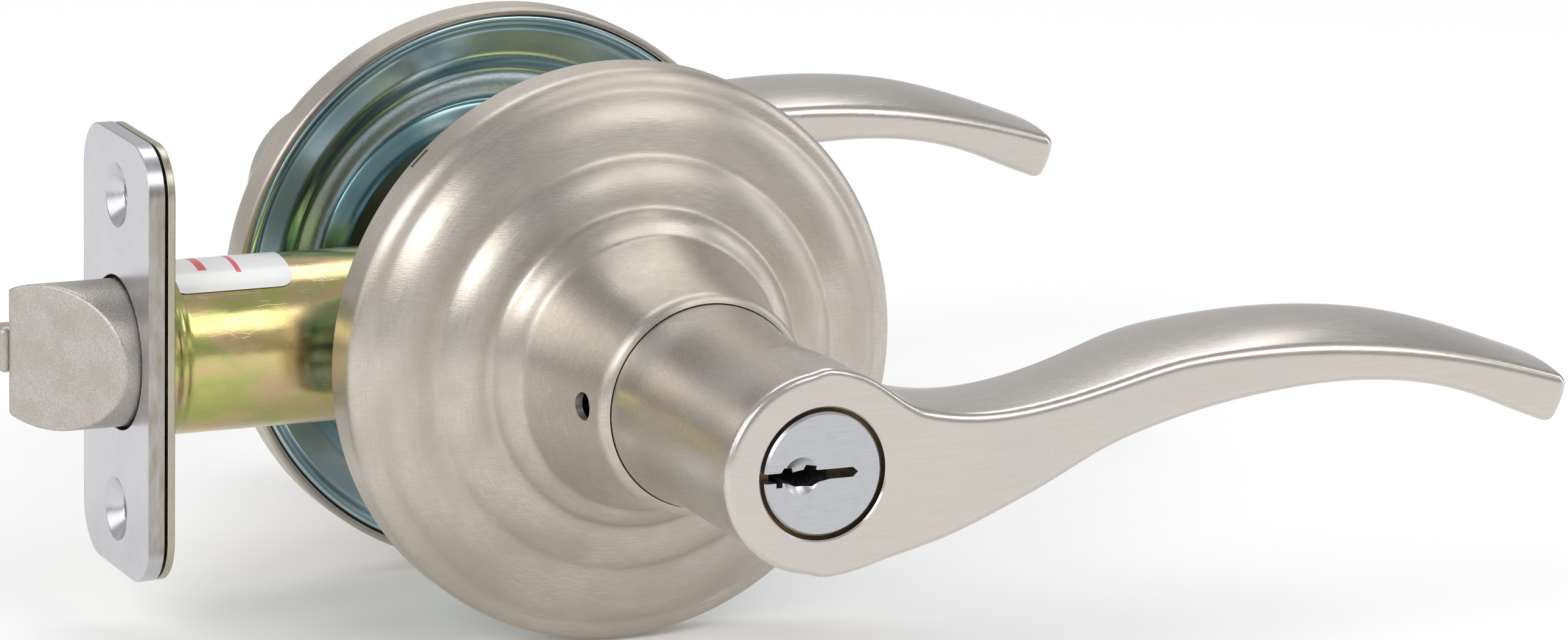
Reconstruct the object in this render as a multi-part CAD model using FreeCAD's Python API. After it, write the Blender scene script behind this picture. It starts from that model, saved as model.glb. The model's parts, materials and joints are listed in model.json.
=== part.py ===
import FreeCAD, Part
import math
import os

# Keyed tubular lever lockset, millimetres, +Z up.
# The origin is where the spindle axis (Y, through the door) crosses the latch axis (X),
# in the middle of the door's thickness. The keyed, exterior side faces -Y, the latch bolt
# points along -X and both levers point along +X.
# Each half is laid out by its distance outward from its own door face, called "out" below.

# ---- the door ----
DOOR_THICKNESS = 34.9
BACKSET = 60.325
LEVER_TRAVEL_DEG = 50.0
BOLT_THROW = 12.7

# ---- clearances ----
RUNNING = 0.05
LOOSE = 0.3
SLIP = 0.1

# ---- rose cover: a pressed sheet with a bead, three stepped ripples and a neck ----
ROSE_RADIUS = 37.6
ROSE_WALL = 1.0
ROSE_SIDE = 4.9
BEAD_WIDTH = 2.6
BEAD_RISE = 1.9
RIPPLE_STEPS = ((6.1, 2.95, 1.8), (5.5, 2.6, 0.8), (2.9, 2.8, 0.0))
RIPPLE_BULGE = 0.1
NECK_RADIUS = 14.35
NECK_LENGTH = 17.9
NECK_HOLLOW = 0.55
RING_ROLL = 0.9

# ---- liner, a dished plate that the cover snaps over ----
LINER_WALL = 1.2
LINER_RECESS = 0.2
LINER_FLANGE = 1.3
LINER_STEP = (0.7, 1.8)
LINER_CONE = (4.1, 2.0)
LINER_LAND = 1.9
LINER_SHOULDER = (3.6, 1.9)
LINER_WALL_DROP = (1.0, 2.5)
COLLAR_LENGTH = 6.0
COLLAR_WALL = 1.25

# ---- spring cage cover ----
CAGE_RADIUS = 21.7
CAGE_WALL = 0.9
CAGE_DEPTH = 4.8

# ---- drive spindle (one each side) ----
SPINDLE_RADIUS = 8.6
SPINDLE_WALL = 1.4
SPINDLE_FLANGE_LIP = 2.2
SPINDLE_WEB = 1.3
DRIVE_SQUARE = 8.0
DRIVE_BORE = 2.9
SNAP_RING_WALL = 1.8
SNAP_RING_WIDTH = 0.9

# ---- return spring ----
SPRING_WIRE = 0.5
SPRING_TURNS = 1.4

# ---- posts and through-bolts ----
POST_PITCH_RADIUS = 16.5
POST_RADIUS = 3.6
POST_END = 14.0
SCREW_RADIUS = 2.0
SCREW_HEAD_RADIUS = 3.2
SCREW_HEAD_HEIGHT = 1.6
SCREW_TIP = -6.0

# ---- lever: a waisted hub and a wave blade ----
FACE_OUT = 68.55
INTERIOR_FACE_OUT = 65.0
HUB_START_OUT = 24.0
HUB_WAIST_RADIUS = 12.1
HUB_WAIST_OUT = 43.5
HUB_FACE_RADIUS = 12.9
HUB_EDGE = 1.0
BLADE_EDGE = 1.0
# Blade stations: distance from the spindle axis, underside, top edge, crown above the top edge,
# depth behind the face, and how far the two faces are drawn in to round the tip.
BLADE_STATIONS = (
    (4.0, -12.0, 11.2, 0.5, 14.0, 0.0),
    (12.0, -10.8, 7.4, 0.6, 14.5, 0.0),
    (21.0, -8.0, 5.7, 0.8, 15.0, 0.0),
    (31.0, -3.8, 6.3, 1.0, 15.7, 0.0),
    (40.0, 0.4, 8.3, 1.2, 17.2, 0.0),
    (50.0, 3.25, 10.1, 1.6, 19.2, 0.0),
    (61.0, 5.05, 10.6, 2.4, 20.3, 0.0),
    (72.0, 5.5, 10.0, 2.8, 20.7, 0.0),
    (83.0, 4.2, 8.5, 2.5, 20.5, 0.0),
    (92.0, 1.2, 6.6, 1.7, 20.2, 0.0),
    (98.0, -1.3, 5.1, 1.1, 20.0, 0.1),
    (100.6, -1.9, 4.4, 0.9, 19.8, 0.4),
    (101.8, -0.9, 3.8, 0.6, 19.6, 0.9),
    (102.4, 0.6, 3.2, 0.3, 19.4, 1.6),
)

# ---- lever catch and the pin hole that reaches it ----
CATCH_OUT = 28.1
CATCH_RADIUS = 1.55
CATCH_TIP = 10.4
CATCH_LEAF = (0.7, 3.0, 14.0)
PIN_HOLE_RADIUS = 1.8

# ---- key cylinder in the exterior lever ----
PLUG_HEAD_RADIUS = 7.75
PLUG_HEAD_LENGTH = 2.0
PLUG_RADIUS = 6.35
PLUG_LENGTH = 25.1
PLUG_EDGE = 0.35
PLUG_TAIL_RADIUS = 5.0
PLUG_TAIL_LENGTH = 1.7
SHELL_RADIUS = 8.3
SHELL_LENGTH = 25.0
SHELL_HOLE_GAP = 0.12
CHAMBER_TOP = 10.9
CHAMBER_HALF_WIDTH = 3.4
PIN_COUNT = 5
PIN_PITCH = 4.0
PIN_RADIUS = 1.45
FIRST_PIN_INSET = 4.5
KEY_PIN_LENGTHS = (3.4, 4.2, 3.0, 3.9, 3.6)
DRIVER_LENGTH = 1.7
PIN_COVER_WALL = 0.7
KEYWAY_END = 3.4
KEYWAY_HALF_HEIGHT = 0.65
WARD = 0.55
DIMPLE_RADIUS = 2.4
DIMPLE_OFFSET = -2.9
CLIP_WALL = 1.8
CLIP_WIDTH = 0.7
TAIL_HALF_WIDTH = 1.9
TAIL_THICKNESS = 1.2
TAIL_END = -2.0

# ---- turn button in the interior lever ----
BUTTON_RADIUS = 6.4
BUTTON_THICKNESS = 3.0
BUTTON_SINK = 2.0
BUTTON_GRIP = (3.2, 10.0, 4.6)
BUTTON_GRIP_ROUND = 1.4
BUTTON_SHAFT_RADIUS = 2.4
TURN_BAR_START = 20.0
TURN_BAR_END = 2.0

# ---- latch ----
PLATE_HEIGHT = 57.15
PLATE_MARGIN = 3.2
PLATE_CORNER = 6.35
FRONT_PLATE_THICKNESS = 2.2
BACK_PLATE_THICKNESS = 1.05
PLATE_GAP = 0.35
SCREW_HOLE_SPACING = 41.275
SCREW_HOLE_RADIUS = 2.2
COUNTERSINK_RADIUS = 4.2
COUNTERSINK_DEPTH = 1.8
TUBE_RADIUS = 11.1
TUBE_WALL = 1.2
TUBE_END = -20.0
BOLT_RADIUS = 9.5
BOLT_HOLE_RADIUS = 9.95
BOLT_HEAD_LENGTH = 19.0
BOLT_TIP_Y = 4.5
BOLT_SLOPE_LENGTH = 10.7
BOLT_EDGE = 0.6
PLUNGER_START_Y = 5.2
PLUNGER_HALF_HEIGHT = 3.0
PLUNGER_PROUD = 1.0
PLUNGER_LENGTH = 24.0
TAIL_ROD = (6.0, 2.0)
SEAT_X = -31.0
SEAT_THICKNESS = 1.0
BOLT_SPRING_RADIUS = 4.2
BOLT_SPRING_WIRE = 0.5
BOLT_SPRING_TURNS = 8
PLUNGER_SPRING_RADIUS = 1.1
PLUNGER_SPRING_WIRE = 0.25
PLUNGER_SPRING_TURNS = 12

# ---- latch case, cam and retractor ----
CASE_HALF_WIDTH = 7.0
CASE_HALF_HEIGHT = 10.4
CASE_WALL = 1.0
CASE_END = 16.0
CAM_RADIUS = 6.6
CAM_HALF_LENGTH = 7.6
CAM_ARM_LENGTH = 8.8
CAM_ARM_WIDTH = 2.6
CAM_ARM_HALF_THICKNESS = 2.0
RAIL_INNER_Y = 2.4
RAIL_THICKNESS = 1.1
RAIL_Z = (6.85, 8.8)
BRIDGE_X = (-26.0, -24.0)
HOOK_X = (-1.7, 1.0)

# ---- label on the tube ----
LABEL_THICKNESS = 0.1
LABEL_GLUE = 0.02
LABEL_LENGTH = 17.0
LABEL_INSET = 2.4
LABEL_ARC_DEG = 95.0
LABEL_CENTRE_DEG = 98.0

EXTERIOR = -1
INTERIOR = 1
HALF_DOOR = DOOR_THICKNESS / 2.0
X_AXIS = FreeCAD.Vector(1, 0, 0)
Y_AXIS = FreeCAD.Vector(0, 1, 0)
Z_AXIS = FreeCAD.Vector(0, 0, 1)
ORIGIN = FreeCAD.Vector(0, 0, 0)

# ---- values worked out from the sizes above ----
PLATE_FACE_X = -BACKSET
PLATE_BACK_X = PLATE_FACE_X + FRONT_PLATE_THICKNESS
BACK_PLATE_X = PLATE_BACK_X + PLATE_GAP
TUBE_BORE = TUBE_RADIUS - TUBE_WALL
PLATE_WIDTH = 2.0 * TUBE_RADIUS + PLATE_MARGIN
BOLT_TIP_X = PLATE_FACE_X - BOLT_THROW
BOLT_REAR_X = BOLT_TIP_X + BOLT_HEAD_LENGTH
PLUNGER_TIP_X = BOLT_TIP_X - PLUNGER_PROUD
LINER_FLOOR = LINER_RECESS + LINER_STEP[1] + LINER_CONE[1] + LINER_SHOULDER[1] + LINER_WALL_DROP[1]
CAGE_FACE = LINER_FLOOR - CAGE_DEPTH
SPINDLE_INNER_END = CAGE_FACE + CAGE_WALL + LOOSE
COLLAR_END = LINER_FLOOR + COLLAR_LENGTH
SPINDLE_OUTER_END = FACE_OUT - PLUG_HEAD_LENGTH - PLUG_LENGTH - CLIP_WIDTH - LOOSE
SPINDLE_FLANGE_RADIUS = SPINDLE_RADIUS + SPINDLE_FLANGE_LIP
SPRING_RADIUS = SPINDLE_FLANGE_RADIUS + SPRING_WIRE + LOOSE + SLIP
SHEAR_GAP = 0.15


def vec(x, y, z):
    return FreeCAD.Vector(x, y, z)


def face_y(out):
    """Y of a plane that stands a distance outward from the exterior door face."""
    return -(HALF_DOOR + out)


def to_side(shape, side):
    """Shapes are drawn on the exterior side; the interior one is the mirror image."""
    if side == EXTERIOR:
        return shape
    return shape.mirror(ORIGIN, Y_AXIS)


def outline_face(start, steps):
    """Face in the XY plane. A step is an end point, or an end point and the bulge of an arc to it."""
    edges = []
    here = vec(start[0], start[1], 0)
    for step in list(steps) + [start]:
        there = vec(step[0], step[1], 0)
        if there.distanceToPoint(here) > 1e-6:
            bulge = step[2] if len(step) > 2 else 0.0
            edges.append(arc_or_line(here, there, bulge))
        here = there
    return Part.Face(Part.Wire(edges))


def arc_or_line(here, there, bulge):
    """Edge between two points of the XY plane; the bulge is the arc's height, to the left if positive."""
    if abs(bulge) < 1e-9:
        return Part.LineSegment(here, there).toShape()
    along = there.sub(here)
    left = vec(-along.y, along.x, 0).normalize()
    middle = here.add(there).multiply(0.5).add(left.multiply(bulge))
    return Part.Arc(here, middle, there).toShape()


def turned(start, steps):
    """Solid of revolution about the spindle axis from an outline of (radius, Y) points."""
    return outline_face(start, steps).revolve(ORIGIN, Y_AXIS, 360)


def rod_y(radius, y0, y1, x=0.0, z=0.0):
    low = min(y0, y1)
    return Part.makeCylinder(radius, abs(y1 - y0), vec(x, low, z), Y_AXIS)


def rod_x(radius, x0, x1, y=0.0, z=0.0):
    low = min(x0, x1)
    return Part.makeCylinder(radius, abs(x1 - x0), vec(low, y, z), X_AXIS)


def block(x0, x1, y0, y1, z0, z1):
    corner = vec(min(x0, x1), min(y0, y1), min(z0, z1))
    return Part.makeBox(abs(x1 - x0), abs(y1 - y0), abs(z1 - z0), corner)


def ring_y(outer, inner, y0, y1):
    return rod_y(outer, y0, y1).cut(rod_y(inner, y0, y1))


def coil(radius, wire, length, turns):
    """Helical spring standing on the origin along +Z, its wire ends inside the stated length."""
    rise = length - 2.0 * wire
    helix = Part.makeLongHelix(rise / turns, rise, radius)
    section = Part.Wire(Part.makeCircle(wire, vec(radius, 0, 0), Y_AXIS))
    spring = Part.Wire(helix.Edges).makePipeShell([section], True, True)
    spring.translate(vec(0, 0, wire))
    return Part.Solid(spring) if spring.ShapeType != "Solid" else spring


def aimed(shape, direction, place):
    """Turn a shape that stands along +Z to a direction and carry it to a place."""
    shape.Placement = FreeCAD.Placement(place, FreeCAD.Rotation(Z_AXIS, direction)).multiply(shape.Placement)
    return shape


def group(solids):
    return Part.makeCompound(solids)


# ---------------------------------------------------------------- roses and liners

def rose_steps(shrink):
    """Outline of the cover from its back edge to the rolled ring, moved in and back by shrink."""
    radius = ROSE_RADIUS
    out = ROSE_SIDE
    steps = [(radius, out, 0.0)]
    radius -= BEAD_WIDTH
    out += BEAD_RISE
    steps.append((radius, out, -0.6))
    for run, rise, land in RIPPLE_STEPS:
        length = math.hypot(run, rise)
        radius -= run
        out += rise
        steps.append((radius, out, -RIPPLE_BULGE * length))
        if land > 0:
            radius -= land
            steps.append((radius, out + 0.05 * land, 0.0))
    neck_top = out + NECK_LENGTH - RING_ROLL
    steps.append((NECK_RADIUS, neck_top, NECK_HOLLOW))
    steps.append((NECK_RADIUS - RING_ROLL, neck_top + RING_ROLL, -0.29 * RING_ROLL))
    return [(r - shrink, o - shrink, b) for r, o, b in steps]


def rose_height():
    return rose_steps(0.0)[-1][1]


def mirrored_steps(steps):
    """The same outline with the outward distance turned into a Y on the exterior side."""
    return [(r, face_y(o), -b) for r, o, b in steps]


def reversed_steps(steps):
    """Walk an outline backwards: each arc keeps its shape and its bulge changes hand."""
    points = [(s[0], s[1]) for s in steps]
    bulges = [s[2] for s in steps]
    back = [(points[i][0], points[i][1], -bulges[i + 1]) for i in range(len(points) - 2, -1, -1)]
    return back


def rose_cover(side):
    outer = mirrored_steps(rose_steps(0.0))
    inner = mirrored_steps(rose_steps(ROSE_WALL))
    start = (ROSE_RADIUS, face_y(0.0))
    mouth = outer[-1][0]
    steps = outer + [(mouth, inner[-1][1], 0.0)]
    steps += [(inner[-2][0], inner[-2][1], 0.0)] + reversed_steps(inner[:-1])
    steps.append((ROSE_RADIUS - ROSE_WALL, face_y(0.0), 0.0))
    cover = turned(start, steps)
    if side == EXTERIOR:
        cover = cover.cut(rod_x(PIN_HOLE_RADIUS, -ROSE_RADIUS, 0, face_y(CATCH_OUT)))
    return to_side(cover, side)


def liner_steps():
    """Door-side outline of the liner, from its rim to the collar's bore."""
    radius = ROSE_RADIUS - ROSE_WALL - SLIP
    out = LINER_RECESS
    steps = [(radius, out, 0.0)]
    radius -= LINER_FLANGE
    steps.append((radius, out, 0.0))
    for run, rise in (LINER_STEP, LINER_CONE):
        radius -= run
        out += rise
        steps.append((radius, out, 0.0))
    radius -= LINER_LAND
    steps.append((radius, out, 0.0))
    radius -= LINER_SHOULDER[0]
    out += LINER_SHOULDER[1]
    steps.append((radius, out, 0.75))
    radius -= LINER_WALL_DROP[0]
    out += LINER_WALL_DROP[1]
    steps.append((radius, out, 0.0))
    return steps


def liner(side):
    face = liner_steps()
    collar_bore = SPINDLE_RADIUS + RUNNING
    collar_outer = collar_bore + COLLAR_WALL
    start = (face[0][0], face_y(face[0][1]))
    steps = mirrored_steps(face[1:])
    steps.append((collar_bore, face_y(LINER_FLOOR), 0.0))
    steps.append((collar_bore, face_y(COLLAR_END), 0.0))
    steps.append((collar_outer, face_y(COLLAR_END), 0.0))
    steps.append((collar_outer, face_y(LINER_FLOOR + LINER_WALL), 0.0))
    back = [(r, o + LINER_WALL, b) for r, o, b in face]
    back[-1] = (back[-1][0] + 0.2, back[-1][1], back[-1][2])
    steps.append((back[-1][0], face_y(back[-1][1]), 0.0))
    steps += reversed_steps(mirrored_steps(back))
    plate = turned(start, steps)
    hole = SCREW_RADIUS + LOOSE
    for z in (-POST_PITCH_RADIUS, POST_PITCH_RADIUS):
        plate = plate.cut(rod_y(hole, face_y(LINER_FLOOR - 1), face_y(LINER_FLOOR + LINER_WALL + 1), 0, z))
    return to_side(plate, side)


def cage_cover(side):
    face = face_y(CAGE_FACE)
    behind = face_y(CAGE_FACE + CAGE_WALL)
    floor = face_y(LINER_FLOOR)
    bore = SPINDLE_RADIUS + COLLAR_WALL
    cover = ring_y(CAGE_RADIUS, bore, face, behind)
    cover = cover.fuse(ring_y(CAGE_RADIUS, CAGE_RADIUS - CAGE_WALL, behind, floor))
    for z in (-POST_PITCH_RADIUS, POST_PITCH_RADIUS):
        cover = cover.cut(rod_y(POST_RADIUS + SLIP, face, floor, 0, z))
    return to_side(cover.removeSplitter(), side)


def return_spring(side):
    room = LINER_FLOOR - CAGE_FACE - CAGE_WALL
    spring = coil(SPRING_RADIUS, SPRING_WIRE, room - 2 * RUNNING, SPRING_TURNS)
    spring = aimed(spring, Y_AXIS, vec(0, face_y(LINER_FLOOR) + RUNNING, 0))
    return to_side(spring, side)


def through_bolt_posts():
    solids = []
    for z in (-POST_PITCH_RADIUS, POST_PITCH_RADIUS):
        post = rod_y(POST_RADIUS, face_y(LINER_FLOOR), POST_END, 0, z)
        post = post.cut(rod_y(SCREW_RADIUS + RUNNING, SCREW_TIP - 2.0, POST_END, 0, z))
        solids.append(post)
    return group(solids)


def through_bolts():
    solids = []
    seat = -face_y(LINER_FLOOR + LINER_WALL)
    for z in (-POST_PITCH_RADIUS, POST_PITCH_RADIUS):
        screw = rod_y(SCREW_RADIUS, SCREW_TIP, seat, 0, z)
        head = rod_y(SCREW_HEAD_RADIUS, seat, seat + SCREW_HEAD_HEIGHT, 0, z)
        head = head.makeFillet(0.6, [e for e in head.Edges if e.BoundBox.YMin > seat + 0.1 and e.Closed])
        slot = block(-SCREW_HEAD_RADIUS, SCREW_HEAD_RADIUS, seat + 1.1, seat + 3.0, z - 0.4, z + 0.4)
        solids.append(screw.fuse(head).cut(slot))
    return group(solids)


# ---------------------------------------------------------------- spindles and drive

def spindle(side):
    inner = face_y(SPINDLE_INNER_END)
    web = face_y(SPINDLE_INNER_END + SPINDLE_WEB)
    outer = face_y(SPINDLE_OUTER_END)
    body = ring_y(SPINDLE_RADIUS, SPINDLE_RADIUS - SPINDLE_WALL, inner, outer)
    body = body.fuse(rod_y(SPINDLE_FLANGE_RADIUS, inner, web))
    half = DRIVE_SQUARE / 2.0 + RUNNING
    body = body.cut(block(-half, half, inner + 1, outer, -half, half))
    catch_y = face_y(CATCH_OUT)
    body = body.cut(rod_x(CATCH_RADIUS + RUNNING, -SPINDLE_RADIUS - 1, 0, catch_y))
    return to_side(body.removeSplitter(), side)


def snap_ring(side):
    start = face_y(COLLAR_END + SLIP)
    ring = ring_y(SPINDLE_RADIUS + SNAP_RING_WALL, SPINDLE_RADIUS, start, start - SNAP_RING_WIDTH)
    gap = block(0, 2 * SPINDLE_RADIUS, start, start - SNAP_RING_WIDTH, -1.5, 1.5)
    return to_side(ring.cut(gap), side)


def lever_catch(side):
    leaf_thickness, leaf_width, leaf_length = CATCH_LEAF
    catch_y = face_y(CATCH_OUT)
    leaf_x = -(SPINDLE_RADIUS - SPINDLE_WALL) + 0.3
    pin = rod_x(CATCH_RADIUS, -CATCH_TIP, leaf_x, catch_y)
    half = leaf_width / 2.0
    leaf = block(leaf_x, leaf_x + leaf_thickness, catch_y - half, catch_y + leaf_length, -half, half)
    return to_side(pin.fuse(leaf), side)


def drive_tube():
    half = DRIVE_SQUARE / 2.0
    end = -face_y(SPINDLE_INNER_END + SPINDLE_WEB)
    tube = block(-half, half, -end, end, -half, half)
    return tube.cut(rod_y(DRIVE_BORE, -end, end))


# ---------------------------------------------------------------- levers

def blade_section(face_out, x, low, high, crown, depth, inset):
    """Closed section of the blade across X: flat face, flat underside, domed top, rounded corners."""
    front = face_y(face_out) + inset
    back = face_y(face_out) + depth - inset
    round_off = min(BLADE_EDGE, 0.3 * (high - low))
    half = 0.5 * (back - front) - round_off
    lean = 2.0 * math.atan2(crown, half)
    across = round_off * (1.0 - math.sin(lean))
    up = round_off * math.cos(lean)
    middle = 0.5 * (math.pi / 2.0 + lean)
    shoulder = high - round_off
    dx = round_off * (1.0 - math.cos(math.pi / 2.0 - middle))
    dz = round_off * math.sin(math.pi / 2.0 - middle)
    small = round_off * (1.0 - math.sqrt(0.5))
    points = [
        (front, low + round_off), (front, shoulder),
        (front + dx, shoulder + dz), (front + across, shoulder + up),
        (0.5 * (front + back), high + crown), (back - across, shoulder + up),
        (back - dx, shoulder + dz), (back, shoulder),
        (back, low + round_off), (back - small, low + small),
        (back - round_off, low), (front + round_off, low),
        (front + small, low + small),
    ]
    p = [vec(x, y, z) for y, z in points]
    edges = [
        Part.LineSegment(p[0], p[1]), Part.Arc(p[1], p[2], p[3]), Part.Arc(p[3], p[4], p[5]),
        Part.Arc(p[5], p[6], p[7]), Part.LineSegment(p[7], p[8]), Part.Arc(p[8], p[9], p[10]),
        Part.LineSegment(p[10], p[11]), Part.Arc(p[11], p[12], p[0]),
    ]
    return Part.Wire([e.toShape() for e in edges])


def lever_blade(face_out):
    sections = [blade_section(face_out, *station) for station in BLADE_STATIONS]
    return Part.makeLoft(sections, True, False)


def lever_hub(face_out):
    mouth = NECK_RADIUS - ROSE_WALL - LOOSE
    ring_out = rose_height()
    face = face_y(face_out)
    side = face + HUB_EDGE
    steps = [
        (mouth, face_y(HUB_START_OUT), 0.0),
        (mouth, face_y(ring_out), 0.0),
        (HUB_WAIST_RADIUS, face_y(HUB_WAIST_OUT), -0.25),
        (HUB_FACE_RADIUS, side, -0.35),
        (HUB_FACE_RADIUS - HUB_EDGE, face, 0.29 * HUB_EDGE),
        (0.0, face, 0.0),
    ]
    hub = turned((0.0, face_y(HUB_START_OUT)), steps)
    # the seam of the turned surfaces is kept off the side where the blade joins
    hub.rotate(ORIGIN, Y_AXIS, 90)
    return hub


def lever_blank(face_out):
    spindle_bore = rod_y(SPINDLE_RADIUS + RUNNING, face_y(HUB_START_OUT - 1), face_y(SPINDLE_OUTER_END + SLIP))
    pin_hole = rod_x(PIN_HOLE_RADIUS, -ROSE_RADIUS, -SPINDLE_RADIUS + LOOSE, face_y(CATCH_OUT))
    return lever_hub(face_out).fuse(lever_blade(face_out)).cut(spindle_bore).cut(pin_hole)


def exterior_lever():
    bore = SHELL_RADIUS + SHELL_HOLE_GAP
    lever = lever_blank(FACE_OUT).cut(rod_y(bore, face_y(FACE_OUT + 1), face_y(SPINDLE_OUTER_END)))
    top = CHAMBER_TOP + SLIP
    half = CHAMBER_HALF_WIDTH + SLIP
    chamber = block(0, top, face_y(shell_front_out() + RUNNING), face_y(HUB_START_OUT - 1), -half, half)
    return lever.cut(chamber)


def interior_lever():
    room = rod_y(BUTTON_RADIUS + RUNNING, face_y(INTERIOR_FACE_OUT + 1), face_y(SPINDLE_OUTER_END))
    return to_side(lever_blank(INTERIOR_FACE_OUT).cut(room), INTERIOR)


# ---------------------------------------------------------------- key cylinder

def shell_front_out():
    return FACE_OUT - PLUG_HEAD_LENGTH - RUNNING


def shell_rear_out():
    return shell_front_out() - SHELL_LENGTH


def pin_ys():
    first = shell_front_out() - FIRST_PIN_INSET
    return [face_y(first - i * PIN_PITCH) for i in range(PIN_COUNT)]


def cylinder_shell():
    front = face_y(shell_front_out())
    rear = face_y(shell_rear_out())
    half = CHAMBER_HALF_WIDTH
    shell = rod_y(SHELL_RADIUS, front, rear).fuse(block(0, CHAMBER_TOP, front, rear, -half, half))
    shell = shell.cut(rod_y(PLUG_RADIUS + RUNNING, front, rear))
    for y in pin_ys():
        shell = shell.cut(rod_x(PIN_RADIUS + RUNNING, PLUG_RADIUS - 1, CHAMBER_TOP, y))
    groove = PIN_RADIUS + 0.4
    return shell.cut(block(CHAMBER_TOP - PIN_COVER_WALL, CHAMBER_TOP, front, rear, -groove, groove))


def pin_cover():
    half = PIN_RADIUS + 0.4
    front = face_y(shell_front_out())
    rear = face_y(shell_rear_out())
    return block(CHAMBER_TOP - PIN_COVER_WALL, CHAMBER_TOP, front, rear, -half, half)


def keyway(y0, y1):
    """Slot from the plug's edge past its centre, with a ward on each side and a pointed end."""
    h = KEYWAY_HALF_HEIGHT
    edge = -PLUG_HEAD_RADIUS - 1.0
    corners = [
        (edge, -h), (-5.0, -h), (-5.0, -h - WARD), (-4.2, -h - WARD), (-4.2, -h),
        (-1.0, -h - WARD), (1.2, -h - WARD), (1.2, -h), (KEYWAY_END - h, -h),
        (KEYWAY_END, 0.0), (KEYWAY_END - h, h), (0.6, h), (0.6, h + WARD),
        (-0.4, h + WARD), (-0.4, h - WARD), (-2.2, h - WARD), (-3.2, h + WARD),
        (-4.6, h), (edge, h),
    ]
    points = [vec(x, y0, z) for x, z in corners]
    slot = Part.Face(Part.makePolygon(points + [points[0]]))
    return slot.extrude(vec(0, y1 - y0, 0))


def key_plug():
    face = face_y(FACE_OUT)
    neck = face + PLUG_HEAD_LENGTH
    rear = neck + PLUG_LENGTH
    steps = [
        (PLUG_HEAD_RADIUS - PLUG_EDGE, face), (PLUG_HEAD_RADIUS, face + PLUG_EDGE),
        (PLUG_HEAD_RADIUS, neck), (PLUG_RADIUS, neck), (PLUG_RADIUS, rear),
        (PLUG_TAIL_RADIUS, rear), (PLUG_TAIL_RADIUS, rear + PLUG_TAIL_LENGTH),
        (0.0, rear + PLUG_TAIL_LENGTH),
    ]
    plug = turned((0.0, face), steps)
    dimple = Part.makeCone(DIMPLE_RADIUS, 0.2, DIMPLE_RADIUS * 0.5, vec(DIMPLE_OFFSET, face, 0), Y_AXIS)
    plug = plug.cut(dimple).cut(keyway(face - 1.0, rear - 1.5))
    for y in pin_ys():
        plug = plug.cut(rod_x(PIN_RADIUS + RUNNING, 0.8, PLUG_RADIUS + 1, y))
    return plug


def key_pins():
    top = PLUG_RADIUS - 0.2
    return group([rod_x(PIN_RADIUS, top - n, top, y) for n, y in zip(KEY_PIN_LENGTHS, pin_ys())])


def driver_pins():
    low = PLUG_RADIUS + SHEAR_GAP
    return group([rod_x(PIN_RADIUS, low, low + DRIVER_LENGTH, y) for y in pin_ys()])


def pin_springs():
    low = PLUG_RADIUS + SHEAR_GAP + DRIVER_LENGTH
    room = CHAMBER_TOP - PIN_COVER_WALL - low
    springs = []
    for y in pin_ys():
        springs.append(aimed(coil(PIN_RADIUS - 0.4, 0.18, room, 4), X_AXIS, vec(low, y, 0)))
    return group(springs)


def plug_clip():
    rear = face_y(FACE_OUT) + PLUG_HEAD_LENGTH + PLUG_LENGTH
    clip = ring_y(PLUG_TAIL_RADIUS + CLIP_WALL, PLUG_TAIL_RADIUS, rear, rear + CLIP_WIDTH)
    return clip.cut(block(0, 2 * PLUG_RADIUS, rear, rear + CLIP_WIDTH, -3.0, 3.0))


def tailpiece():
    start = face_y(FACE_OUT) + PLUG_HEAD_LENGTH + PLUG_LENGTH + PLUG_TAIL_LENGTH
    half = TAIL_THICKNESS / 2.0
    return block(-TAIL_HALF_WIDTH, TAIL_HALF_WIDTH, start, TAIL_END, -half, half)


# ---------------------------------------------------------------- turn button

def turn_button():
    face = -face_y(INTERIOR_FACE_OUT)
    base = rod_y(BUTTON_RADIUS, face - BUTTON_SINK, face - BUTTON_SINK + BUTTON_THICKNESS)
    width, height, length = BUTTON_GRIP
    start = face - BUTTON_SINK + BUTTON_THICKNESS
    grip = block(-height / 2, height / 2, start - 0.5, start + length, -width / 2, width / 2)
    ends = [e for e in grip.Edges if e.BoundBox.YMin > start + length - 0.01]
    return base.fuse(grip.makeFillet(BUTTON_GRIP_ROUND, ends))


def turn_bar():
    start = -face_y(INTERIOR_FACE_OUT) - BUTTON_SINK
    half = TAIL_THICKNESS / 2.0
    shaft = rod_y(BUTTON_SHAFT_RADIUS, TURN_BAR_START, start)
    return shaft.fuse(block(-TAIL_HALF_WIDTH, TAIL_HALF_WIDTH, TURN_BAR_END, TURN_BAR_START, -half, half))


# ---------------------------------------------------------------- latch

def plate_blank(x0, thickness):
    half_w = PLATE_WIDTH / 2.0
    half_h = PLATE_HEIGHT / 2.0
    plate = block(x0, x0 + thickness, -half_w, half_w, -half_h, half_h)
    corners = [e for e in plate.Edges if abs(e.BoundBox.XLength - thickness) < 1e-3]
    return plate.makeFillet(PLATE_CORNER, corners)


def latch_front_plate():
    plate = plate_blank(PLATE_FACE_X, FRONT_PLATE_THICKNESS)
    plate = plate.cut(rod_x(BOLT_HOLE_RADIUS, PLATE_FACE_X - 1, PLATE_BACK_X + 1))
    for z in (-SCREW_HOLE_SPACING / 2.0, SCREW_HOLE_SPACING / 2.0):
        sink = Part.makeCone(COUNTERSINK_RADIUS, SCREW_HOLE_RADIUS, COUNTERSINK_DEPTH,
                             vec(PLATE_FACE_X, 0, z), X_AXIS)
        plate = plate.cut(rod_x(SCREW_HOLE_RADIUS, PLATE_FACE_X - 1, PLATE_BACK_X + 1, 0, z)).cut(sink)
    return plate


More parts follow.
